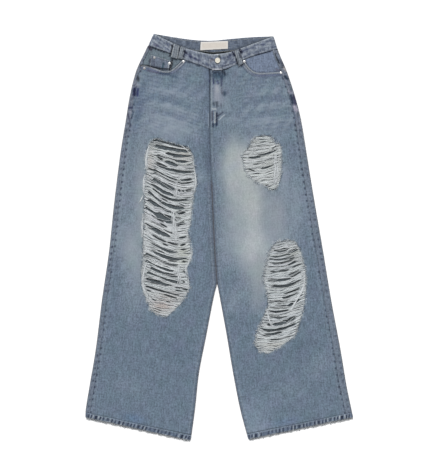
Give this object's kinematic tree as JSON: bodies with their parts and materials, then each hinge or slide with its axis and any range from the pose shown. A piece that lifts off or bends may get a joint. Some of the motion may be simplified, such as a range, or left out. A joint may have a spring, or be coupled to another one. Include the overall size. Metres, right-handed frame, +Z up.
{
  "type": "ripped jeans, laid flat",
  "caption": "Wide-leg high-waist blue denim jeans laid flat, front up, five-pocket cut with a lapped waistband, shank button, belt loops, rivets, frayed hems and thread-filled rips",
  "frame": {"origin": "middle of the bounding box's underside, on the surface that the jeans lie on", "axes": "+Z up from the surface and out of the front of the jeans, +Y from the hems to the waist, +X to the wearer's left"},
  "size_m": [0.7096, 1.0786, 0.0158],
  "materials": {
    "denim": "washed twill, faded and abraded",
    "cream_thread": "loose undyed cotton weft",
    "cream_label": "woven cotton, bare",
    "button_metal": "pale antique plate, worn",
    "rivet_metal": "dull nickel plate"
  },
  "bodies": {
    "root": {"front_right": "denim", "front_left": "denim", "back_right": "denim", "back_left": "denim", "yoke_right": "denim", "yoke_left": "denim", "waistband": "denim", "belt_loop_front_right_outer": "denim", "belt_loop_front_right_inner": "denim", "belt_loop_front_left": "denim", "belt_loop_back_right": "denim", "belt_loop_back_centre": "denim", "belt_loop_back_left": "denim", "pocket_facing_right": "denim", "pocket_facing_left": "denim", "coin_pocket": "denim", "back_pocket_right": "denim", "back_pocket_left": "denim", "hem_right": "denim", "hem_left": "denim", "rip_threads_right_leg": "cream_thread", "rip_threads_left_thigh": "cream_thread", "rip_threads_left_knee": "cream_thread", "inside_label": "cream_label", "button": "button_metal", "rivet_right_front": "rivet_metal", "rivet_right_side": "rivet_metal", "rivet_left_front": "rivet_metal", "rivet_left_side": "rivet_metal", "rivet_coin_outer": "rivet_metal", "rivet_coin_inner": "rivet_metal"}
  },
  "joints": []
}
